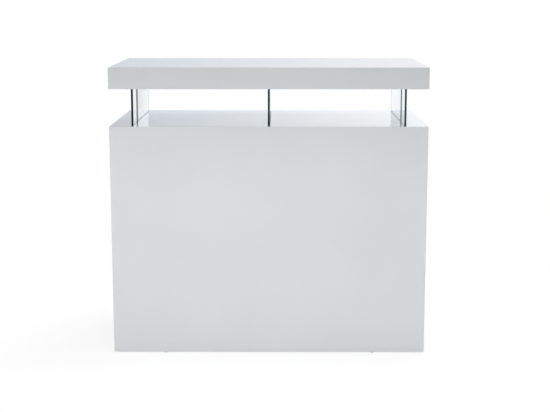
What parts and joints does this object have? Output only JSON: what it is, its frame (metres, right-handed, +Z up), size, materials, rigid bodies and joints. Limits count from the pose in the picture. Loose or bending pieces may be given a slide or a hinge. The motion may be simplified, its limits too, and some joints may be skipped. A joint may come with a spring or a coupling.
{
  "type": "bar counter with shelves",
  "caption": "White gloss bar counter: a closed front, open shelves behind, and a thick bar slab carried above the deck on clear glass panes with slim metal posts.",
  "frame": {"origin": "on the floor, in the middle of the counter's footprint", "axes": "-Y is the guests' side (closed front), +Y the staff's side (open shelves), +Z up, X along the counter"},
  "size_m": [1.2, 0.6, 1.104],
  "materials": {
    "white_lacquer": "high-gloss white lacquer on fibreboard",
    "white_melamine": "satin white melamine on particle board",
    "raw_fibreboard": "unfinished fibreboard",
    "white_edging": "satin white edging",
    "clear_glass": "clear float glass, polished edges",
    "post_metal": "satin anodised, mid grey",
    "gasket_rubber": "grey soft seal",
    "zinc_steel": "zinc plated",
    "cam_zinc": "cast zinc alloy, tumbled",
    "insert_brass": "turned",
    "cap_plastic": "satin moulded",
    "beech": "fluted, unfinished",
    "glide_plastic": "satin moulded"
  },
  "bodies": {
    "counter": {"barrel_nut": "zinc_steel", "bottom_edging": "white_edging", "bottom_panel": "white_melamine", "cam_bolts": "zinc_steel", "cam_covers": "cap_plastic", "cam_locks": "cam_zinc", "centre_back_pane": "clear_glass", "centre_front_pane": "clear_glass", "centre_partition": "white_melamine", "centre_post": "post_metal", "deck_panel": "white_lacquer", "dowels": "beech", "floor_glides": "glide_plastic", "floor_stretcher": "white_melamine", "front_panel": "white_lacquer", "kick_board": "white_melamine", "left_back_pane": "clear_glass", "left_front_pane": "clear_glass", "left_post": "post_metal", "left_side_edging": "white_edging", "left_side_panel": "white_lacquer", "lower_pane_gaskets": "gasket_rubber", "middle_tie_rod": "zinc_steel", "outer_tie_rods": "zinc_steel", "partition_edging": "white_edging", "right_back_pane": "clear_glass", "right_front_pane": "clear_glass", "right_post": "post_metal", "right_side_edging": "white_edging", "right_side_panel": "white_lacquer", "shelf_pins": "zinc_steel", "slab_back": "white_lacquer", "slab_centre_rib": "raw_fibreboard", "slab_front": "white_lacquer", "slab_inserts": "insert_brass", "slab_left_end": "white_lacquer", "slab_left_rib": "raw_fibreboard", "slab_right_end": "white_lacquer", "slab_right_rib": "raw_fibreboard", "slab_top": "white_lacquer", "slab_underside": "white_lacquer", "tie_rod_nuts": "zinc_steel", "tie_rod_washers": "zinc_steel", "upper_pane_gaskets": "gasket_rubber"},
    "left_lower_shelf": {"left_lower_shelf": "white_melamine", "left_lower_shelf_edging": "white_edging"},
    "left_upper_shelf": {"left_upper_shelf": "white_melamine", "left_upper_shelf_edging": "white_edging"},
    "right_lower_shelf": {"right_lower_shelf": "white_melamine", "right_lower_shelf_edging": "white_edging"},
    "right_upper_shelf": {"right_upper_shelf": "white_melamine", "right_upper_shelf_edging": "white_edging"}
  },
  "joints": [
    {"name": "left_lower_shelf_slide", "type": "slide", "parent": "counter", "child": "left_lower_shelf", "axis": [0, 1, 0], "range_m": [0, 0.22]},
    {"name": "left_upper_shelf_slide", "type": "slide", "parent": "counter", "child": "left_upper_shelf", "axis": [0, 1, 0], "range_m": [0, 0.22]},
    {"name": "right_lower_shelf_slide", "type": "slide", "parent": "counter", "child": "right_lower_shelf", "axis": [0, 1, 0], "range_m": [0, 0.22]},
    {"name": "right_upper_shelf_slide", "type": "slide", "parent": "counter", "child": "right_upper_shelf", "axis": [0, 1, 0], "range_m": [0, 0.22]}
  ]
}
